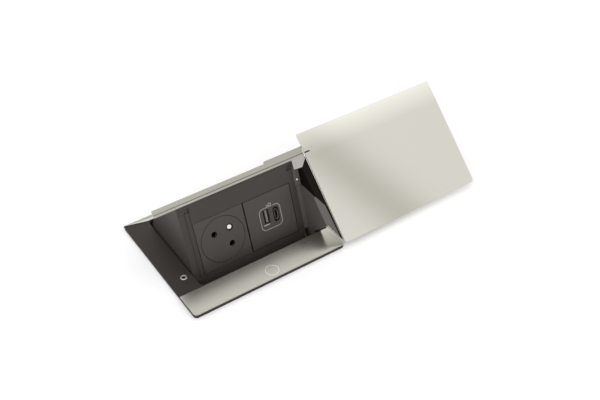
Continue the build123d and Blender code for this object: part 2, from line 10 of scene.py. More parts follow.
import bmesh
import bpy
from bmesh.types import BMEdge, BMesh, BMVert
from bpy.types import Material, Node, NodeSocket, NodeTree
from mathutils import Matrix, Vector

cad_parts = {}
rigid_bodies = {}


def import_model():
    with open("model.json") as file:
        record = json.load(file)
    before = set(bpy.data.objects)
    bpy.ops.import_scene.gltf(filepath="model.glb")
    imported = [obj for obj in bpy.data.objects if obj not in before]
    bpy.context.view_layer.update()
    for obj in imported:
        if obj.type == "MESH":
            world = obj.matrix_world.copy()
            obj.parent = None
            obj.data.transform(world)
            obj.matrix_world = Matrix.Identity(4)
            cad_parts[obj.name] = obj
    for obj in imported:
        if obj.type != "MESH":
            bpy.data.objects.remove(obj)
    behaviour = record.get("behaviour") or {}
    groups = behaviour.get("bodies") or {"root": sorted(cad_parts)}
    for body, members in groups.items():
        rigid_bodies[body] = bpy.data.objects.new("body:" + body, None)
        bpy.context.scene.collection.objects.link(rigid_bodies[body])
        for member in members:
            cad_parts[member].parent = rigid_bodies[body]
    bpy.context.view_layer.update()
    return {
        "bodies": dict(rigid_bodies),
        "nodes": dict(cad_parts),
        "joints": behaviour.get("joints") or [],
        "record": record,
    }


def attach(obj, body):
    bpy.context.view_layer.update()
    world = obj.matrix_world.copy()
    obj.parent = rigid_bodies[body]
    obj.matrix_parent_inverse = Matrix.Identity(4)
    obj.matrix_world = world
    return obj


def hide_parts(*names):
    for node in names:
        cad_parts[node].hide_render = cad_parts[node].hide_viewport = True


LOG = logging.getLogger("power_module")
MM = 0.001
UNIT_ORIGIN = (-70.0, -51.2013, -29.3)
UNIT_LEAN = 42.3
PANEL_ORIGIN = (5.7, -15.4988, 19.6457)
PANEL_LEAN = 71.2
INK_TOP = 0.7
NOISE_MIDDLE = 0.5
WHITE = (1.0, 1.0, 1.0, 1.0)

Outline = Sequence[tuple[float, float]]
Colour = tuple[float, float, float]
Place = tuple[float, float, float]


class Body(Enum):
    """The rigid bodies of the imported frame."""

    FRAME = "frame"
    UNIT = "unit"
    LID = "lid"
    LINK = "link"
    DISC = "disc"
    CLAMP = "clamp"


class Noise(Enum):
    """How coarse a surface's grain is, in waves per metre."""

    FINE = 2600.0
    COARSE = 900.0
    CLOUD = 22.0


def link(tree: NodeTree, source: NodeSocket, target: NodeSocket) -> None:
    """Joins two sockets of a node tree."""
    tree.links.new(source, target)


def group_sockets(
    tree: NodeTree, inputs: Sequence[tuple[str, str, object]], outputs: Sequence[tuple[str, str]]
) -> tuple[Node, Node]:
    """Gives a node group its named sockets.

    Args:
        tree: The group to fill.
        inputs: Name, socket type and starting value of each input.
        outputs: Name and socket type of each output.

    Returns:
        The group's input node and its output node.
    """
    for name, kind, value in inputs:
        socket = tree.interface.new_socket(name=name, in_out="INPUT", socket_type=kind)
        socket.default_value = value
    for name, kind in outputs:
        tree.interface.new_socket(name=name, in_out="OUTPUT", socket_type=kind)
    return tree.nodes.new("NodeGroupInput"), tree.nodes.new("NodeGroupOutput")


def math_node(tree: NodeTree, operation: str, first: object, second: object) -> NodeSocket:
    """Adds a Math node.

    Args:
        tree: The tree that gets the node.
        operation: Blender's name for the operation.
        first: A socket or a number.
        second: A socket or a number.

    Returns:
        The node's result.
    """
    node = tree.nodes.new("ShaderNodeMath")
    node.operation = operation
    for socket, value in zip(node.inputs, (first, second)):
        if isinstance(value, NodeSocket):
            link(tree, value, socket)
        else:
            socket.default_value = value
    return node.outputs[0]


def new_material(name: str) -> tuple[Material, NodeTree, Node]:
    """Starts a material.

    Args:
        name: The material's name.

    Returns:
        The material, its node tree and its shader.
    """
    material = bpy.data.materials.new(name)
    material.use_nodes = True
    tree = material.node_tree
    return material, tree, tree.nodes["Principled BSDF"]


def place_group(tree: NodeTree, group: NodeTree, values: dict[str, float]) -> Node:
    """Places a shared group in a material.

    Args:
        tree: The material's node tree.
        group: The shared group.
        values: The group's inputs in this material.

    Returns:
        The group's node.
    """
    node = tree.nodes.new("ShaderNodeGroup")
    node.node_tree = group
    for name, value in values.items():
        node.inputs[name].default_value = value
    return node


def add_tone(
    tree: NodeTree,
    shader: Node,
    group: Node,
    fac: NodeSocket,
    colours: tuple[Colour, Colour],
) -> None:
    """Gives a shader a tone between two colours, and the roughness of a placed group.

    Args:
        tree: The material's node tree.
        shader: The shader.
        group: The placed group.
        fac: How much of the second colour shows, 0 to 1.
        colours: The two colours.
    """
    node = tree.nodes.new("ShaderNodeMix")
    node.data_type = "RGBA"
    link(tree, fac, node.inputs["Factor"])
    for socket, colour in zip((node.inputs[6], node.inputs[7]), colours):
        socket.default_value = (*colour, 1.0)
    link(tree, node.outputs[2], shader.inputs["Base Color"])
    link(tree, group.outputs["Roughness"], shader.inputs["Roughness"])


def add_bump(tree: NodeTree, shader: Node, height: NodeSocket, strength: float, depth: float) -> None:
    """Gives a shader a fine relief.

    Args:
        tree: The material's node tree.
        shader: The shader.
        height: The relief's height, 0 to 1.
        strength: How strongly the relief shows.
        depth: The relief's depth in metres.
    """
    bump = tree.nodes.new("ShaderNodeBump")
    bump.inputs["Strength"].default_value = strength
    bump.inputs["Distance"].default_value = depth
    link(tree, height, bump.inputs["Height"])
    link(tree, bump.outputs["Normal"], shader.inputs["Normal"])


def noise_node(tree: NodeTree, place: NodeSocket, scale: float, detail: float) -> Node:
    """Adds a noise.

    Args:
        tree: The tree that gets it.
        place: Where the noise is looked up.
        scale: Its waves per metre.
        detail: How many finer layers it has.

    Returns:
        The noise's node.
    """
    node = tree.nodes.new("ShaderNodeTexNoise")
    node.inputs["Scale"].default_value = scale
    node.inputs["Detail"].default_value = detail
    link(tree, place, node.inputs["Vector"])
    return node


def grain_group() -> NodeTree:
    """Builds the group for the fine grain of moulded plastic.

    Returns:
        A group with the grain's height, its cloudy tone and a roughness.
    """
    tree = bpy.data.node_groups.new("moulded_grain", "ShaderNodeTree")
    inputs, outputs = group_sockets(
        tree,
        (
            ("Scale", "NodeSocketFloat", Noise.FINE.value),
            ("Roughness", "NodeSocketFloat", 0.5),
            ("Spread", "NodeSocketFloat", 0.1),
        ),
        (("Height", "NodeSocketFloat"), ("Tone", "NodeSocketFloat"), ("Roughness", "NodeSocketFloat")),
    )
    place = tree.nodes.new("ShaderNodeTexCoord").outputs["Object"]
    fine = noise_node(tree, place, Noise.FINE.value, detail=2.0)
    link(tree, inputs.outputs["Scale"], fine.inputs["Scale"])
    cloud = noise_node(tree, place, Noise.CLOUD.value, detail=3.0)
    swing = math_node(tree, "SUBTRACT", cloud.outputs["Fac"], NOISE_MIDDLE)
    swing = math_node(tree, "MULTIPLY", swing, inputs.outputs["Spread"])
    rough = math_node(tree, "ADD", inputs.outputs["Roughness"], swing)
    link(tree, fine.outputs["Fac"], outputs.inputs["Height"])
    link(tree, cloud.outputs["Fac"], outputs.inputs["Tone"])
    link(tree, rough, outputs.inputs["Roughness"])
    return tree


def brushing_group() -> NodeTree:
    """Builds the group for metal brushed along X.

    Returns:
        A group with the streaks' height, a streak mask and a broad cloudy tone.
    """
    tree = bpy.data.node_groups.new("brushed_streaks", "ShaderNodeTree")
    inputs, outputs = group_sockets(
        tree,
        (
            ("Across", "NodeSocketFloat", 3200.0),
            ("Along", "NodeSocketFloat", 40.0),
            ("Roughness", "NodeSocketFloat", 0.3),
            ("Spread", "NodeSocketFloat", 0.1),
        ),
        (
            ("Height", "NodeSocketFloat"),
            ("Streak", "NodeSocketFloat"),
            ("Tone", "NodeSocketFloat"),
            ("Roughness", "NodeSocketFloat"),
        ),
    )
    place = tree.nodes.new("ShaderNodeTexCoord").outputs["Object"]
    stretch = tree.nodes.new("ShaderNodeVectorMath")
    stretch.operation = "MULTIPLY"
    sizes = tree.nodes.new("ShaderNodeCombineXYZ")
    link(tree, inputs.outputs["Along"], sizes.inputs["X"])
    link(tree, inputs.outputs["Across"], sizes.inputs["Y"])
    link(tree, inputs.outputs["Across"], sizes.inputs["Z"])
    link(tree, place, stretch.inputs[0])
    link(tree, sizes.outputs[0], stretch.inputs[1])
    streak = noise_node(tree, stretch.outputs[0], scale=1.0, detail=4.0)
    cloud = noise_node(tree, place, Noise.CLOUD.value, detail=2.0)
    swing = math_node(tree, "SUBTRACT", streak.outputs["Fac"], NOISE_MIDDLE)
    swing = math_node(tree, "MULTIPLY", swing, inputs.outputs["Spread"])
    rough = math_node(tree, "ADD", inputs.outputs["Roughness"], swing)
    link(tree, streak.outputs["Fac"], outputs.inputs["Height"])
    link(tree, streak.outputs["Fac"], outputs.inputs["Streak"])
    link(tree, cloud.outputs["Fac"], outputs.inputs["Tone"])
    link(tree, rough, outputs.inputs["Roughness"])
    return tree


class Groups:
    """The node groups that more than one finish uses, each built once."""

    def __init__(self) -> None:
        """Builds the groups."""
        self.grain = grain_group()
        self.brushing = brushing_group()


@dataclass(frozen=True)
class Moulding:
    """A moulded plastic with a fine grain."""

    name: str
    low: Colour
    high: Colour
    roughness: float = 0.5
    spread: float = 0.12
    grain: Noise = Noise.FINE
    bump: float = 0.08
    bump_depth: float = 0.00005
    specular: float = 0.4

    def build(self, groups: Groups) -> Material:
        """Makes the material.

        Args:
            groups: The shared node groups.

        Returns:
            The finished material.
        """
        material, tree, shader = new_material(self.name)
        values = {"Scale": self.grain.value, "Roughness": self.roughness, "Spread": self.spread}
        grain = place_group(tree, groups.grain, values)
        add_tone(tree, shader, grain, grain.outputs["Tone"], (self.low, self.high))
        add_bump(tree, shader, grain.outputs["Height"], self.bump, self.bump_depth)
        shader.inputs["Specular IOR Level"].default_value = self.specular
        return material


@dataclass(frozen=True)
class Brushed:
    """A metal brushed along the X axis."""

    name: str
    low: Colour
    high: Colour
    roughness: float = 0.34
    spread: float = 0.16
    across: float = 3200.0
    along: float = 40.0
    bump: float = 0.12
    bump_depth: float = 0.00002
    anisotropy: float = 0.5
    streak_share: float = 0.7

    def build(self, groups: Groups) -> Material:
        """Makes the material.

        Args:
            groups: The shared node groups.

        Returns:
            The finished material.
        """
        material, tree, shader = new_material(self.name)
        values = {"Across": self.across, "Along": self.along}
        values |= {"Roughness": self.roughness, "Spread": self.spread}
        brushing = place_group(tree, groups.brushing, values)
        streaks = math_node(tree, "MULTIPLY", brushing.outputs["Streak"], self.streak_share)
        clouds = math_node(tree, "MULTIPLY", brushing.outputs["Tone"], 1.0 - self.streak_share)
        blend = math_node(tree, "ADD", streaks, clouds)
        add_tone(tree, shader, brushing, blend, (self.low, self.high))
        add_bump(tree, shader, brushing.outputs["Height"], self.bump, self.bump_depth)
        shader.inputs["Metallic"].default_value = 1.0
        shader.inputs["Anisotropic"].default_value = self.anisotropy
        return material


@dataclass(frozen=True)
class LidSheet:
    """The lid's finely brushed sheet, with a painted reflection: a soft darker band of painted shade lies
    across it and a painted highlight makes its rear edge lighter.
    """

    name: str = "lid_metal"
    low: Colour = (0.47, 0.455, 0.40)
    high: Colour = (0.87, 0.86, 0.78)
    base: float = 0.49
    band_start: float = 0.210
    band_slope: float = 0.6
    band_width: float = 0.026
    band_depth: float = 0.42
    rear_start: float = 0.092
    rear_width: float = 0.020
    rear_gain: float = 0.52
    streaks: float = 0.10
    roughness: float = 0.42
    spread: float = 0.08
    across: float = 5200.0
    along: float = 60.0

    def place(self, tree: NodeTree) -> tuple[NodeSocket, NodeSocket]:
        """Finds where on the lid a point lies.

        Args:
            tree: The material's node tree.

        Returns:
            How far along the unit the point lies, and how far up the lid, in metres.
        """
        parts = tree.nodes.new("ShaderNodeSeparateXYZ")
        link(tree, tree.nodes.new("ShaderNodeTexCoord").outputs["Object"], parts.inputs[0])
        lean = math.radians(UNIT_LEAN)
        along = math_node(tree, "SUBTRACT", parts.outputs["X"], UNIT_ORIGIN[0] * MM)
        back = math_node(tree, "SUBTRACT", parts.outputs["Y"], UNIT_ORIGIN[1] * MM)
        back = math_node(tree, "MULTIPLY", back, math.cos(lean))
        rise = math_node(tree, "SUBTRACT", parts.outputs["Z"], UNIT_ORIGIN[2] * MM)
        rise = math_node(tree, "MULTIPLY", rise, math.sin(lean))
        return along, math_node(tree, "ADD", back, rise)

    def dark_band(self, tree: NodeTree, along: NodeSocket, depth: NodeSocket) -> NodeSocket:
        """Works out the soft darker band of painted shade that lies slantwise over the lid, a painted
        reflection.

        Args:
            tree: The material's node tree.
            along: How far along the unit a point lies.
            depth: How far up the lid it lies.

        Returns:
            What the painted shade of the band takes from the tone.
        """
        band = math_node(tree, "MULTIPLY", depth, self.band_slope)
        band = math_node(tree, "ADD", band, along)
        band = math_node(tree, "SUBTRACT", band, self.band_start)
        band = math_node(tree, "DIVIDE", band, self.band_width)
        band = math_node(tree, "MULTIPLY", band, band)
        band = math_node(tree, "MULTIPLY", band, -1.0)
        band = math_node(tree, "EXPONENT", band, 0.0)
        return math_node(tree, "MULTIPLY", band, -self.band_depth)

    def light_rear(self, tree: NodeTree, depth: NodeSocket) -> NodeSocket:
        """Works out the lighter strip along the lid's rear edge, a painted highlight.

        Args:
            tree: The material's node tree.
            depth: How far up the lid a point lies.

        Returns:
            What the painted highlight adds to the tone.
        """
        rear = math_node(tree, "SUBTRACT", depth, self.rear_start)
        rear = math_node(tree, "DIVIDE", rear, self.rear_width)
        rear = math_node(tree, "MAXIMUM", rear, 0.0)
        rear = math_node(tree, "MINIMUM", rear, 1.0)
        return math_node(tree, "MULTIPLY", rear, self.rear_gain)

    def build(self, groups: Groups) -> Material:
        """Makes the material.

        Args:
            groups: The shared node groups.

        Returns:
            The finished material.
        """
        material, tree, shader = new_material(self.name)
        values = {"Across": self.across, "Along": self.along}
        values |= {"Roughness": self.roughness, "Spread": self.spread}
        brushing = place_group(tree, groups.brushing, values)
        along, depth = self.place(tree)
        # Painted shade: a soft darker band across the lid stands for a darker reflection.
        band = self.dark_band(tree, along, depth)
        # Painted highlight: the lid's rear edge is made lighter.
        rear = self.light_rear(tree, depth)
        streak = math_node(tree, "SUBTRACT", brushing.outputs["Streak"], NOISE_MIDDLE)
        streak = math_node(tree, "MULTIPLY", streak, self.streaks)
        blend = math_node(tree, "ADD", band, rear)
        blend = math_node(tree, "ADD", blend, streak)
        blend = math_node(tree, "ADD", blend, self.base)
        add_tone(tree, shader, brushing, blend, (self.low, self.high))
        shader.inputs["Metallic"].default_value = 1.0
        return material


@dataclass(frozen=True)
class PlatedMetal:
    """A small plated piece, smooth with a slight unevenness."""

    name: str
    low: Colour
    high: Colour
    roughness: float = 0.22
    spread: float = 0.15

    def build(self, groups: Groups) -> Material:
        """Makes the material.

        Args:
            groups: The shared node groups.

        Returns:
            The finished material.
        """
        material, tree, shader = new_material(self.name)
        values = {"Scale": Noise.COARSE.value, "Roughness": self.roughness, "Spread": self.spread}
        grain = place_group(tree, groups.grain, values)
        add_tone(tree, shader, grain, grain.outputs["Height"], (self.low, self.high))
        shader.inputs["Metallic"].default_value = 1.0
        return material


@dataclass(frozen=True)
class Finishes:
    """Every finish of the module, ready to use."""

    strip_plastic: Material
    tub_plastic: Material
    unit_plastic: Material
    module_plastic: Material
    wall_plastic: Material
    seal: Material
    port_light: Material
    print_grey: Material
    lid_metal: Material
    strip_metal: Material
    rail_metal: Material
    tab_metal: Material
    bright_metal: Material
    zinc: Material
    nickel: Material
    brass: Material
    board: Material


def make_finishes() -> Finishes:
    """Builds every material once.

    Returns:
        The finishes by name.
    """
    finishes = (
        Moulding("strip_plastic", (0.030, 0.024, 0.021), (0.042, 0.035, 0.030), specular=0.22),
        Moulding("tub_plastic", (0.022, 0.019, 0.016), (0.032, 0.028, 0.024), specular=0.25),
        Moulding("unit_plastic", (0.043, 0.037, 0.032), (0.054, 0.047, 0.041), specular=0.28),
        Moulding("module_plastic", (0.056, 0.048, 0.042), (0.067, 0.058, 0.051), roughness=0.42, specular=0.32),
        Moulding("wall_plastic", (0.100, 0.088, 0.079), (0.116, 0.103, 0.093)),
        # Near-black; the clamp socket's disc and the strip along the lid's edge use it as painted shade.
        Moulding("seal", (0.0045, 0.003, 0.0015), (0.008, 0.006, 0.003), roughness=0.7, specular=0.12),
        Moulding("port_light", (0.17, 0.165, 0.155), (0.23, 0.225, 0.21), roughness=0.4),
        Moulding("print_grey", (0.25, 0.24, 0.22), (0.33, 0.31, 0.29), roughness=0.5),
        LidSheet(),
        Brushed(
            "strip_metal",
            (0.47, 0.455, 0.405),
            (0.53, 0.515, 0.46),
            roughness=0.24,
            spread=0.06,
            across=5200.0,
            along=60.0,
            bump=0.02,
            anisotropy=0.0,
        ),
        Brushed("rail_metal", (0.37, 0.36, 0.315), (0.46, 0.45, 0.395)),
        Brushed("tab_metal", (0.40, 0.39, 0.37), (0.48, 0.47, 0.45), roughness=0.4),
        # A lighter copy of the brushed metal: painted light for the rear strip's front facet.
        Brushed("bright_metal", (0.52, 0.51, 0.48), (0.60, 0.59, 0.56), roughness=0.3),
        PlatedMetal("zinc", (0.50, 0.50, 0.48), (0.62, 0.62, 0.60), roughness=0.35),
        PlatedMetal("nickel", (0.74, 0.73, 0.70), (0.84, 0.83, 0.80)),
        PlatedMetal("brass", (0.62, 0.47, 0.22), (0.76, 0.58, 0.30)),
        Moulding("board", (0.020, 0.075, 0.035), (0.035, 0.11, 0.055), roughness=0.35),
    )
    groups = Groups()
    return Finishes(**{finish.name: finish.build(groups) for finish in finishes})


@dataclass(frozen=True)
class LeaningPlane:
    """A plane that leans back, in millimetres: X right, Y up the plane, Z out of it."""

    origin: Place
    lean: float

    def matrix(self) -> Matrix:
        """Works out the plane's place in the row frame.

        Returns:
            A matrix from metres on the plane to metres in the row frame.
        """
        angle = math.radians(self.lean)
        right = Vector((1.0, 0.0, 0.0))
        out = Vector((0.0, -math.sin(angle), math.cos(angle)))
        up = out.cross(right)
        turn = Matrix((right, up, out)).transposed().to_4x4()
        return Matrix.Translation(Vector(self.origin) * MM) @ turn


def shifted(x: float, y: float, z: float) -> Matrix:
    """Makes a plain shift, given in millimetres."""
    return Matrix.Translation(Vector((x, y, z)) * MM)


def circle_path(radius: float, steps: int) -> list[Vector]:
    """Walks round a circle.

    Args:
        radius: Its radius in millimetres.
        steps: How many points it has.

    Returns:
        The points in order.
    """
    angles = [math.tau * step / steps for step in range(steps)]
    return [Vector((radius * math.cos(angle), radius * math.sin(angle), 0.0)) for angle in angles]


def ring_path(width: float, height: float, radius: float, steps: int) -> list[Vector]:
    """Walks round a rectangle with round corners, from the middle of its top side.

    Args:
        width: Full width in millimetres.
        height: Full height in millimetres.
        radius: Corner radius in millimetres.
        steps: Points on each corner's arc, less one.

    Returns:
        The points in order, clockwise.
    """
    points = [Vector((0.0, height / 2, 0.0))]
    corners = ((1, 1, 90.0), (1, -1, 0.0), (-1, -1, -90.0), (-1, 1, -180.0))
    for side_x, side_y, start in corners:
        centre = Vector((side_x * (width / 2 - radius), side_y * (height / 2 - radius), 0.0))
        for step in range(steps + 1):
            angle = math.radians(start - 90.0 * step / steps)
            points.append(centre + Vector((math.cos(angle), math.sin(angle), 0.0)) * radius)
    return points


def printed_line(points: Sequence[Vector], line: float, thick: float, closed: bool) -> BMesh:
    """Makes a flat raised line of ink along a path.

    Args:
        points: The path, in millimetres on the plane.
        line: Width of the line in millimetres.
        thick: How far the ink stands up, in millimetres.
        closed: Whether the last point joins the first.

    Returns:
        The line's mesh, still in millimetres.
    """
    mesh = bmesh.new()
    count = len(points)
    rise = Vector((0.0, 0.0, thick))
    rows = []
    for index, point in enumerate(points):
        before = points[index - 1] if closed or index > 0 else point
        after = points[(index + 1) % count] if closed or index < count - 1 else point
        run = (after - before).normalized()
        across = Vector((-run.y, run.x, 0.0)) * (line / 2)
        rows.append(
            [
                mesh.verts.new(point + across),
                mesh.verts.new(point + across * INK_TOP + rise),
                mesh.verts.new(point - across * INK_TOP + rise),
                mesh.verts.new(point - across),
            ]
        )
    spans = count if closed else count - 1
    for index in range(spans):
        here, there = rows[index], rows[(index + 1) % count]
        for edge in range(3):
            mesh.faces.new((here[edge], there[edge], there[edge + 1], here[edge + 1]))
    if not closed:
        mesh.faces.new(rows[0])
        mesh.faces.new(rows[-1][::-1])
    return mesh


def slab(outline: Outline, low: float, tops: Sequence[float]) -> BMesh:
    """Makes a plate whose top may rise and fall.

    Args:
        outline: The corners in order, in millimetres on the plane.
        low: Height of the underside.
        tops: Height of the top at each corner.

    Returns:
        The plate's mesh, still in millimetres.
    """
    mesh = bmesh.new()
    under = [mesh.verts.new((x, y, low)) for x, y in outline]
    over = [mesh.verts.new((x, y, top)) for (x, y), top in zip(outline, tops)]
    mesh.faces.new(under[::-1])
    mesh.faces.new(over)
    for index, corner in enumerate(under):
        after = (index + 1) % len(under)
        mesh.faces.new((corner, under[after], over[after], over[index]))
    return mesh


def plate(outline: Outline, low: float, high: float) -> BMesh:
    """Makes a flat plate, given as slab's is but with one height for its whole top."""
    return slab(outline, low, [high] * len(outline))


def turned(profile: Outline, steps: int) -> BMesh:
    """Turns a profile round its axis.

    Args:
        profile: Radius and height of each point, from the axis back to the axis.
        steps: How many sides the turned piece has.

    Returns:
        The turned mesh, still in millimetres.
    """
    mesh = bmesh.new()
    rings = []
    for radius, height in profile[1:-1]:
        rings.append([mesh.verts.new((point.x, point.y, height)) for point in circle_path(radius, steps)])
    first = mesh.verts.new((0.0, 0.0, profile[0][1]))
    last = mesh.verts.new((0.0, 0.0, profile[-1][1]))
    for step in range(steps):
        after = (step + 1) % steps
        mesh.faces.new((first, rings[0][step], rings[0][after]))
        mesh.faces.new((last, rings[-1][after], rings[-1][step]))
        for inner, outer in zip(rings, rings[1:]):
            mesh.faces.new((inner[step], outer[step], outer[after], inner[after]))
    return mesh


@dataclass(frozen=True)
class Opening:
    """A rectangle with round corners on a plane, in millimetres."""

    x: float
    y: float
    width: float
    height: float
    radius: float
    corner_steps: int = 6
    least_radius: float = 0.05

    def loop(self, mesh: BMesh, grow: float, level: float) -> list[BMVert]:
        """Puts the rectangle's points into a mesh.

        Args:
            mesh: The mesh that gets them.
            grow: How far the rectangle is grown on each side.
            level: Height of the points.

        Returns:
            The new points in order.
        """
        radius = max(self.radius + grow, self.least_radius)
        path = ring_path(self.width + 2 * grow, self.height + 2 * grow, radius, self.corner_steps)
        return [mesh.verts.new((point.x + self.x, point.y + self.y, level)) for point in path]


def pierced_plate(outer: Opening, holes: Sequence[Opening], back: float, front: float, edge: float) -> BMesh:
    """Makes a plate with openings through it and a small chamfer round each edge.

    Args:
        outer: The plate's own outline.
        holes: Its openings.
        back: Height of its underside.
        front: Height of its face.
        edge: Width of the chamfer.

    Returns:
        The plate's mesh, still in millimetres.
    """
    mesh = bmesh.new()
    faces: dict[float, list[BMEdge]] = {front: [], back: []}
    for shape, side in [(outer, -1.0)] + [(hole, 1.0) for hole in holes]:
        loops = [
            shape.loop(mesh, side * edge, front),
            shape.loop(mesh, 0.0, front - edge),
            shape.loop(mesh, 0.0, back),
        ]
        for upper, lower in zip(loops, loops[1:]):
            for index, point in enumerate(upper):
                after = (index + 1) % len(upper)
                mesh.faces.new((point, upper[after], lower[after], lower[index]))
        for level, points in ((front, loops[0]), (back, loops[-1])):
            pairs = zip(points, points[1:] + points[:1])
            faces[level] += [mesh.edges.get(pair) for pair in pairs]
    for level, edges in faces.items():
        bmesh.ops.triangle_fill(mesh, edges=edges, use_beauty=True, normal=(0.0, 0.0, 1.0))
    return mesh


def place_piece(
    name: str, mesh: BMesh, plane: Matrix, material: Material, body: Body
) -> bpy.types.Object:
    """Turns a mesh in millimetres into a piece of the scene.

    Args:
        name: The piece's name.
        mesh: Its mesh, in millimetres on the plane.
        plane: From metres on the plane to the row frame.
        material: Its finish.
        body: The body it rides on.

    Returns:
        The new object.
    """
    for vert in mesh.verts:
        vert.co = plane @ (vert.co * MM)
    bmesh.ops.recalc_face_normals(mesh, faces=mesh.faces)
    data = bpy.data.meshes.new(name)
    mesh.to_mesh(data)
    mesh.free()
    piece = bpy.data.objects.new(name, data)
    bpy.context.scene.collection.objects.link(piece)
    piece.data.materials.append(material)
    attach(piece, body.value)
    LOG.info("made %s", name)
    return piece


@dataclass
class SubAssembly:
    """A part of the module, with the loaded frame and the finishes that it is made with."""

    frame: dict
    finishes: Finishes

    def dress(self, material: Material, *nodes: str) -> None:
        """Gives carried-over solids their finish.

        Args:
            material: The finish they get.
            nodes: The solids' names.
        """
        for node in nodes:
            shown = self.frame["nodes"][node]
            shown.data.materials.clear()
            shown.data.materials.append(material)
            LOG.info("dressed %s in %s", node, material.name)


@dataclass
class DeskFrame(SubAssembly):
    """The frame in the desk, with its brushed strips and the tub."""

    top: float = 4.2
    press_x: float = 4.1
    press_y: float = -53.5
    press_radius: float = 5.5
    press_line: float = 0.5
    ink: float = 0.02
    corner_x: float = -70.0
    corner_y: float = -61.2
    length: float = 140.0
    width: float = 122.4
    rear_foot: float = 0.1
    rear_edge: float = 2.4
    rear_ridge: float = 3.0
    rear_inner: Outline = ((20.0, 117.0), (135.0, 117.0))
    rear_middle: Outline = ((20.0, 119.05), (137.0, 119.05))
    clamp_x: float = -56.6
    clamp_y: float = -18.6
    clamp_top: float = 1.9
    clamp_foot: float = -31.5
    head_radius: float = 3.1
    head_height: float = 2.6
    head_round: float = 0.5
    head_chamfer: float = 0.4
    shank_radius: float = 1.6
    socket_radius: float = 1.35
    socket_depth: float = 1.4
    socket_flare: float = 0.3
    flare_depth: float = 0.25
    floor_rise: float = 0.2
    floor_gap: float = 0.05
    floor_sink: float = 0.1
    head_steps: int = 36
    floor_steps: int = 24
    press_steps: int = 40

    def build(self) -> None:
        """Dresses the frame's solids and makes its own pieces."""
        finishes = self.finishes
        self.dress(finishes.strip_plastic, "flange_frame")
        self.dress(finishes.tub_plastic, "tub", "clamp_jaw", "cable_gland")
        self.dress(finishes.strip_metal, "front_trim")
        self.dress(finishes.zinc, "pivot_pins")
        self.rear_strip()
        self.clamp_screw()
        self.press_mark()

    def rear_strip(self) -> None:
        """Makes the strip along the back, which is mitred at both ends; its front facet is a lighter copy of
        the metal and its back facet the darker rail metal, as painted light.
        """
        plane = shifted(self.corner_x, self.corner_y, 0.0)
        left, right = (0.0, self.width), (self.length, self.width)
        ridge = self.rear_middle
        front = [left, *self.rear_inner, right, *ridge[::-1]]
        low, high = self.rear_edge, self.rear_ridge
        mesh = slab(front, self.rear_foot, (low, low, low, low, high, high))
        # Painted light: the front facet gets the lighter metal and the back facet the darker rail metal, for
        # how light falls on the two faces.
        piece = place_piece("rear_strip", mesh, plane, self.finishes.bright_metal, Body.FRAME)
        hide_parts("rear_trim")
        mesh = slab([left, *ridge, right], self.rear_foot, (low, high, high, low))
        place_piece("rear_strip_back", mesh, plane, self.finishes.rail_metal, Body.FRAME)

    def clamp_screw(self) -> None:
        """Makes the clamp screw with its round head and deep socket, and a black disc at the socket's bottom as
        painted shade.
        """
        top, foot, head, shank = self.clamp_top, self.clamp_foot, self.head_radius, self.shank_radius
        bore, depth = self.socket_radius, self.socket_depth
        profile = (
            (0.0, top - depth),
            (bore, top - depth),
            (bore, top - self.flare_depth),
            (bore + self.socket_flare, top),
            (head - self.head_round, top),
            (head, top - self.head_chamfer),
            (head, top - self.head_height),
            (shank, top - self.head_height),
            (shank, foot),
            (0.0, foot),
        )
        plane = shifted(self.clamp_x, self.clamp_y, 0.0)
        mesh = turned(profile, self.head_steps)
        piece = place_piece("clamp_head", mesh, plane, self.finishes.zinc, Body.CLAMP)
        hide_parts("clamp_screw")
        # Painted shade: a black disc at the bottom of the socket stands for the shade in the zinc hole.
        high, low = top - depth + self.floor_rise, top - depth - self.floor_sink
        width = bore - self.floor_gap
        floor = ((0.0, high), (width, high), (width, low), (0.0, low))
        mesh = turned(floor, self.floor_steps)
        place_piece("clamp_socket_shade", mesh, plane, self.finishes.seal, Body.CLAMP)

    def press_mark(self) -> None:
        """Etches a plain ring where a finger presses the front strip."""
        ring = [point * self.press_radius for point in circle_path(1.0, self.press_steps)]
        mesh = printed_line(ring, self.press_line, self.ink, True)
        plane = shifted(self.press_x, self.press_y, self.top)
        place_piece("press_mark", mesh, plane, self.finishes.nickel, Body.FRAME)


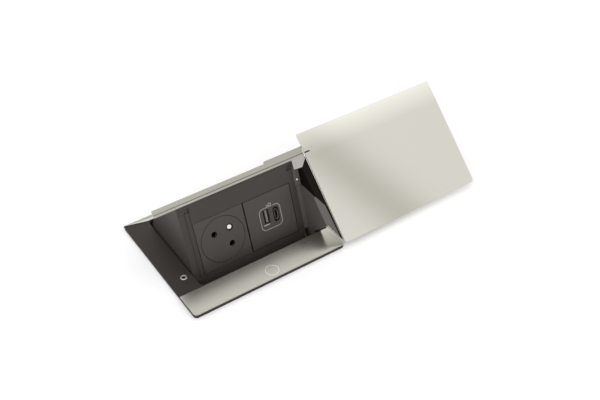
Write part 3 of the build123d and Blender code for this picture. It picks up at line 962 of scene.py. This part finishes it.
@dataclass
class SocketUnit(SubAssembly):
    """The swinging unit: carrier, covers, rail and end wall."""

    axes: Matrix
    panel: Matrix
    rail_low: float = 31.5
    rail_high: float = 32.3
    tab_high: float = 32.42
    rail_shift: float = 1.0
    skirt_middle: float = 104.6
    skirt_outer: float = 100.4
    skirt_inner: float = 99.6
    carrier_limit: float = 99.3
    rail_margin: float = 0.1
    rail_middle: float = 97.0
    rail_rear: float = 100.5
    weld: float = 0.001
    tab_outline: Outline = ((127.0, 94.6), (125.6, 86.7), (133.4, 86.1), (138.7, 91.5), (139.4, 94.6))
    web_outline: Outline = ((50.9, 17.0), (56.2, 17.0), (56.2, 38.6), (50.9, 38.6))
    web_levels: tuple[float, float] = (-1.4, -0.5)
    screw_at: Place = (53.6, 22.3, 0.0)
    screw_profile: Outline = (
        (0.0, 0.45),
        (0.5, 0.45),
        (0.6, 0.7),
        (1.0, 0.6),
        (1.3, 0.2),
        (1.3, -0.6),
        (0.0, -0.6),
    )
    screw_steps: int = 24
    line_outline: Outline = ((2.6, 96.2), (139.4, 96.2), (139.4, 96.75), (2.6, 96.75))
    line_rise: float = 0.015
    lip_outline: Outline = ((137.6, 60.0), (138.4, 20.0), (139.6, 20.0), (139.6, 60.0))
    lip_sink: float = 0.1
    lip_rise: float = 0.06
    bar_outline: Outline = ((103.5, 100.53), (149.0, 100.53), (149.0, 102.4), (104.6, 102.4), (103.5, 101.7))

    def build(self) -> None:
        """Dresses the unit's solids and makes its own pieces."""
        finishes = self.finishes
        self.dress(finishes.wall_plastic, "end_wall")
        self.dress(finishes.seal, "side_seal")
        self.straightened("rear_cover", "rail_cover", finishes.rail_metal, "brushed_metal")
        self.straightened("carrier", "unit_carrier", finishes.unit_plastic, "unit_plastic")
        self.tab()
        self.web_and_screw()
        self.rail_line()
        self.edge_seal()
        self.slide_bar()

    def straightened(self, node: str, name: str, material: Material, slot: str) -> None:
        """Copies a solid and flattens what bulges behind the rail.

        Args:
            node: The solid that the copy stands for.
            name: The copy's name.
            material: The copy's finish.
            slot: The record's material slot it stands for; not used.
        """
        mesh = bmesh.new()
        mesh.from_mesh(self.frame["nodes"][node].data)
        inverse = self.axes.inverted()
        for vert in mesh.verts:
            vert.co = (inverse @ vert.co) / MM
            depth, level = vert.co.y, vert.co.z
            if node == "carrier":
                vert.co.y = min(depth, self.carrier_limit)
            else:
                outer = math.hypot(depth, level) > self.skirt_middle
                vert.co.y = min(depth, self.skirt_outer if outer else self.skirt_inner)
                if level > self.rail_low - self.rail_margin:
                    front = depth < self.rail_middle
                    vert.co.y = depth + self.rail_shift if front else min(depth, self.rail_rear)
        bmesh.ops.dissolve_degenerate(mesh, dist=self.weld, edges=mesh.edges)
        piece = place_piece(name, mesh, self.axes, material, Body.UNIT)
        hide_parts(node)

    def tab(self) -> None:
        """Makes the flat tab under the rail."""
        mesh = plate(self.tab_outline, self.rail_low, self.tab_high)
        piece = place_piece("rail_tab", mesh, self.axes, self.finishes.tab_metal, Body.UNIT)
        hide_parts("rail_bracket")

    def web_and_screw(self) -> None:
        """Makes the web below the tab, and the small screw beside the charger."""
        mesh = plate(self.web_outline, *self.web_levels)
        place_piece("panel_web", mesh, self.panel, self.finishes.wall_plastic, Body.UNIT)
        spot = self.panel @ shifted(*self.screw_at)
        mesh = turned(self.screw_profile, self.screw_steps)
        piece = place_piece("panel_screw", mesh, spot, self.finishes.nickel, Body.UNIT)
        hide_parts("bezel_screw")

    def rail_line(self) -> None:
        """Makes the dark line in the rail's groove, a grey strip as painted shade where the groove lies in
        shadow.
        """
        # Painted shade: a grey strip stands for the shade in the rail's groove.
        mesh = plate(self.line_outline, self.rail_low, self.rail_high + self.line_rise)
        place_piece("rail_line", mesh, self.axes, self.finishes.wall_plastic, Body.UNIT)

    def edge_seal(self) -> None:
        """Makes a thin black strip that follows the lid's edge down to the front, as a painted shadow where the
        rail's edge shades the front strip.
        """
        # Painted shadow: a thin black plate along the lid's edge.
        mesh = plate(self.lip_outline, self.rail_high - self.lip_sink, self.rail_high + self.lip_rise)
        place_piece("edge_seal", mesh, self.axes, self.finishes.seal, Body.UNIT)

    def slide_bar(self) -> None:
        """Makes the thin bar that slides between rail and lid."""
        mesh = plate(self.bar_outline, self.rail_low, self.rail_high)
        piece = place_piece("slide_bar", mesh, self.axes, self.finishes.rail_metal, Body.LINK)
        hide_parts("slide_link")


@dataclass
class SlidingLid(SubAssembly):
    """The brushed lid and the short dark line at its left edge, painted shade in the lid's groove."""

    axes: Matrix
    top: float = 33.5
    inlay_sink: float = 0.1
    inlay_rise: float = 0.02
    inlay_outline: Outline = (
        (140.2, 95.6),
        (144.8, 95.6),
        (145.3, 95.9),
        (145.3, 96.5),
        (144.8, 96.8),
        (140.2, 96.8),
    )

    def build(self) -> None:
        """Dresses the lid and lays in its short dark line, painted shade in the lid's groove, which carries on
        from the rail's groove.
        """
        self.dress(self.finishes.lid_metal, "lid")
        # Painted shade: a dark plate in the lid's groove stands for the shade inside it.
        mesh = plate(self.inlay_outline, self.top - self.inlay_sink, self.top + self.inlay_rise)
        place_piece("lid_groove_shade", mesh, self.axes, self.finishes.tub_plastic, Body.LID)


@dataclass
class EarthedSocket(SubAssembly):
    """The round socket with its disc, core and earth pin."""

    def build(self) -> None:
        """Dresses the socket's solids."""
        finishes = self.finishes
        self.dress(finishes.module_plastic, "socket_cover", "socket_disc")
        self.dress(finishes.seal, "socket_core")
        self.dress(finishes.nickel, "earth_pin")
        self.dress(finishes.brass, "contacts")


@dataclass
class Charger(SubAssembly):
    """The two-port charger and the printed lines on its cover."""

    panel: Matrix
    cover: Opening = Opening(22.75, 0.0, 44.1, 44.6, 0.8)
    port_a: Opening = Opening(18.8, 2.15, 5.3, 12.5, 0.5)
    port_c: Opening = Opening(27.9, 1.1, 5.3, 13.4, 2.6)
    port_c_ring: Opening = Opening(28.2, 0.8, 3.4, 9.4, 1.7)
    port_c_hole: Opening = Opening(28.2, 0.8, 2.4, 8.4, 1.2)
    cover_back: float = -3.0
    outline: Opening = Opening(22.5, 0.4, 19.75, 19.4, 3.8)
    outline_steps: int = 8
    gap: tuple[float, float] = (2.5, 3.6)
    line: float = 0.7
    ink: float = 0.03
    cover_chamfer: float = 0.18
    port_a_depth: float = -2.9
    port_c_depth: float = -1.3
    tongue_outline: Outline = ((18.3, -3.3), (20.1, -3.3), (20.1, 7.7), (18.3, 7.7))
    tongue_levels: tuple[float, float] = (-2.95, -1.4)
    lip_outline: Outline = ((14.6, -5.25), (20.3, -5.25), (20.3, -4.35), (14.6, -4.35))
    lip_levels: tuple[float, float] = (-0.2, 0.12)
    ring_levels: tuple[float, float] = (-1.35, -0.5)
    ring_chamfer: float = 0.12
    mark_at: Place = (23.4, 11.6, 0.0)
    mark_radius: float = 1.25
    mark_line: float = 0.8
    mark_steps: int = 24
    dash_ends: tuple[float, float] = (20.0, 21.5)
    dash_line: float = 1.1

    def build(self) -> None:
        """Dresses the charger's solids and makes its own pieces."""
        self.dress(self.finishes.module_plastic, "usb_case")
        self.dress(self.finishes.board, "usb_board")
        self.front()
        self.marks()

    def front(self) -> None:
        """Makes the cover and its two ports."""
        finishes, panel = self.finishes, self.panel
        mesh = pierced_plate(self.cover, (self.port_a, self.port_c), self.cover_back, 0.0, self.cover_chamfer)
        piece = place_piece("charger_cover", mesh, panel, finishes.module_plastic, Body.UNIT)
        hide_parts("usb_cover")
        for name, port, depth, node in (
            ("port_a_floor", self.port_a, self.port_a_depth, "usb_a_shell"),
            ("port_c_floor", self.port_c, self.port_c_depth, "usb_c_tongue"),
        ):
            points = ring_path(port.width, port.height, port.radius, port.corner_steps)
            outline = [(point.x + port.x, point.y + port.y) for point in points]
            mesh = plate(outline, self.cover_back, depth)
            piece = place_piece(name, mesh, panel, finishes.seal, Body.UNIT)
            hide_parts(node)
        mesh = plate(self.tongue_outline, *self.tongue_levels)
        piece = place_piece("port_a_tongue", mesh, panel, finishes.port_light, Body.UNIT)
        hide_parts("usb_a_tongue")
        mesh = plate(self.lip_outline, *self.lip_levels)
        place_piece("port_a_lip", mesh, panel, finishes.tab_metal, Body.UNIT)
        mesh = pierced_plate(self.port_c_ring, (self.port_c_hole,), *self.ring_levels, self.ring_chamfer)
        piece = place_piece("port_c_ring", mesh, panel, finishes.port_light, Body.UNIT)
        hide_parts("usb_c_shell")

    def marks(self) -> None:
        """Prints the outline round the two ports and a plain ring and dash above it."""
        shape = self.outline
        path = ring_path(shape.width, shape.height, shape.radius, self.outline_steps)
        high = shape.height / 2
        path = [Vector((self.gap[1], high, 0.0)), *path[1:], Vector((self.gap[0], high, 0.0))]
        dash = [Vector((end, self.mark_at[1], 0.0)) for end in self.dash_ends]
        ring = circle_path(self.mark_radius, self.mark_steps)
        for name, points, line, closed, at in (
            ("port_outline", path, self.line, False, (shape.x, shape.y, 0.0)),
            ("port_mark_ring", ring, self.mark_line, True, self.mark_at),
            ("port_mark_dash", dash, self.dash_line, False, (0.0, 0.0, 0.0)),
        ):
            mesh = printed_line(points, line, self.ink, closed)
            spot = self.panel @ shifted(*at)
            place_piece(name, mesh, spot, self.finishes.print_grey, Body.UNIT)


@dataclass
class Studio:
    """Camera, lamps, world and the desk top."""

    camera_at: Place = (-0.2637, -0.48702, 0.5217)
    camera_looks: Place = (0.4238, 0.6233, -0.6572)
    camera_up: Place = (0.3710, 0.5425, 0.7537)
    lens: float = 54.738
    desk_half: float = 20.0
    hole: tuple[float, float, float, float] = (-0.0516, 0.0666, -0.0578, 0.0574)
    fill: float = 0.95
    fade_start: float = 0.45
    fade_width: float = 0.5
    sensor: float = 36.0
    clip: tuple[float, float] = (0.01, 100.0)
    lamps_aim: Place = (0.05, 0.0, 0.03)
    key_at: Place = (-0.5, -0.7, 1.1)
    key_size: float = 1.6
    key_power: float = 3.0
    back_at: Place = (0.7, 0.6, 1.2)
    back_size: float = 1.8
    back_power: float = 1.6

    def camera(self) -> None:
        """Sets the camera at the photograph's place and angle."""
        data = bpy.data.cameras.new("camera")
        data.sensor_width = self.sensor
        data.lens = self.lens
        data.clip_start, data.clip_end = self.clip
        camera = bpy.data.objects.new("camera", data)
        bpy.context.scene.collection.objects.link(camera)
        looks = Vector(self.camera_looks).normalized()
        right = looks.cross(Vector(self.camera_up)).normalized()
        up = right.cross(looks)
        turn = Matrix((right, up, -looks)).transposed().to_4x4()
        camera.matrix_world = Matrix.Translation(Vector(self.camera_at)) @ turn
        bpy.context.scene.camera = camera

    def world(self) -> None:
        """Lights the scene from all round, with plain white where the background shows."""
        world = bpy.data.worlds.new("studio")
        bpy.context.scene.world = world
        world.use_nodes = True
        tree = world.node_tree
        tree.nodes.clear()
        out = tree.nodes.new("ShaderNodeOutputWorld")
        light = tree.nodes.new("ShaderNodeBackground")
        light.inputs["Color"].default_value = WHITE
        light.inputs["Strength"].default_value = self.fill
        shown = tree.nodes.new("ShaderNodeBackground")
        shown.inputs["Color"].default_value = WHITE
        shown.inputs["Strength"].default_value = 1.0
        path = tree.nodes.new("ShaderNodeLightPath")
        seen = math_node(tree, "MAXIMUM", path.outputs["Is Camera Ray"], path.outputs["Is Glossy Ray"])
        seen = math_node(tree, "MAXIMUM", seen, path.outputs["Is Transmission Ray"])
        mix = tree.nodes.new("ShaderNodeMixShader")
        link(tree, seen, mix.inputs[0])
        link(tree, light.outputs[0], mix.inputs[1])
        link(tree, shown.outputs[0], mix.inputs[2])
        link(tree, mix.outputs[0], out.inputs["Surface"])

    def lamp(self, name: str, at: Sequence[float], size: float, power: float) -> None:
        """Adds a soft lamp that points at the module.

        Args:
            name: The lamp's name.
            at: Its place in metres.
            size: Its width in metres.
            power: Its power in watts.
        """
        data = bpy.data.lights.new(name, "AREA")
        data.shape = "DISK"
        data.size = size
        data.energy = power
        lamp = bpy.data.objects.new(name, data)
        bpy.context.scene.collection.objects.link(lamp)
        lamp.location = Vector(at)
        lamp.rotation_mode = "QUATERNION"
        lamp.rotation_quaternion = (Vector(self.lamps_aim) - Vector(at)).to_track_quat("-Z", "Y")

    def desk(self) -> None:
        """Makes the pale desk top, with its cut-out for the tub."""
        low_x, high_x, low_y, high_y = self.hole
        far = self.desk_half
        mesh = bmesh.new()
        across = [-far, low_x, high_x, far]
        back = [-far, low_y, high_y, far]
        grid = [[mesh.verts.new((x, y, 0.0)) for y in back] for x in across]
        for column, (left, right) in enumerate(zip(grid, grid[1:])):
            for row in range(len(left) - 1):
                # The middle cell stays open for the tub.
                if (column, row) != (1, 1):
                    mesh.faces.new((left[row], right[row], right[row + 1], left[row + 1]))
        data = bpy.data.meshes.new("desk_top")
        mesh.to_mesh(data)
        mesh.free()
        desk = bpy.data.objects.new("desk_top", data)
        bpy.context.scene.collection.objects.link(desk)
        desk.data.materials.append(self.desk_material())

    def desk_material(self) -> Material:
        """Makes the desk top's white, which fades far out and lets a view from below through.

        Returns:
            The material.
        """
        material, tree, shader = new_material("desk_white")
        shader.inputs["Base Color"].default_value = WHITE
        shader.inputs["Roughness"].default_value = 1.0
        shader.inputs["Specular IOR Level"].default_value = 0.0
        clear = tree.nodes.new("ShaderNodeBsdfTransparent")
        facing = tree.nodes.new("ShaderNodeNewGeometry")
        mix = tree.nodes.new("ShaderNodeMixShader")
        place = tree.nodes.new("ShaderNodeTexCoord")
        away = tree.nodes.new("ShaderNodeVectorMath")
        away.operation = "LENGTH"
        link(tree, place.outputs["Object"], away.inputs[0])
        fade = math_node(tree, "SUBTRACT", away.outputs["Value"], self.fade_start)
        fade = math_node(tree, "DIVIDE", fade, self.fade_width)
        fade = math_node(tree, "MINIMUM", math_node(tree, "MAXIMUM", fade, 0.0), 1.0)
        open_side = math_node(tree, "MAXIMUM", fade, facing.outputs["Backfacing"])
        link(tree, open_side, mix.inputs[0])
        link(tree, shader.outputs[0], mix.inputs[1])
        link(tree, clear.outputs[0], mix.inputs[2])
        link(tree, mix.outputs[0], tree.nodes["Material Output"].inputs["Surface"])
        return material

    def build(self) -> None:
        """Sets up everything round the module."""
        self.camera()
        self.world()
        self.desk()
        self.lamp("key_lamp", self.key_at, self.key_size, self.key_power)
        self.lamp("back_lamp", self.back_at, self.back_size, self.back_power)
        bpy.context.scene.view_settings.view_transform = "Standard"


def main() -> None:
    """Loads the frame, dresses it and builds the studio."""
    logging.basicConfig(level=logging.INFO, format="%(message)s")
    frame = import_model()
    finishes = make_finishes()
    panel = LeaningPlane(PANEL_ORIGIN, PANEL_LEAN).matrix()
    axes = LeaningPlane(UNIT_ORIGIN, UNIT_LEAN).matrix()
    DeskFrame(frame, finishes).build()
    SocketUnit(frame, finishes, axes, panel).build()
    SlidingLid(frame, finishes, axes).build()
    EarthedSocket(frame, finishes).build()
    Charger(frame, finishes, panel).build()
    Studio().build()


if __name__ == "__main__":
    main()
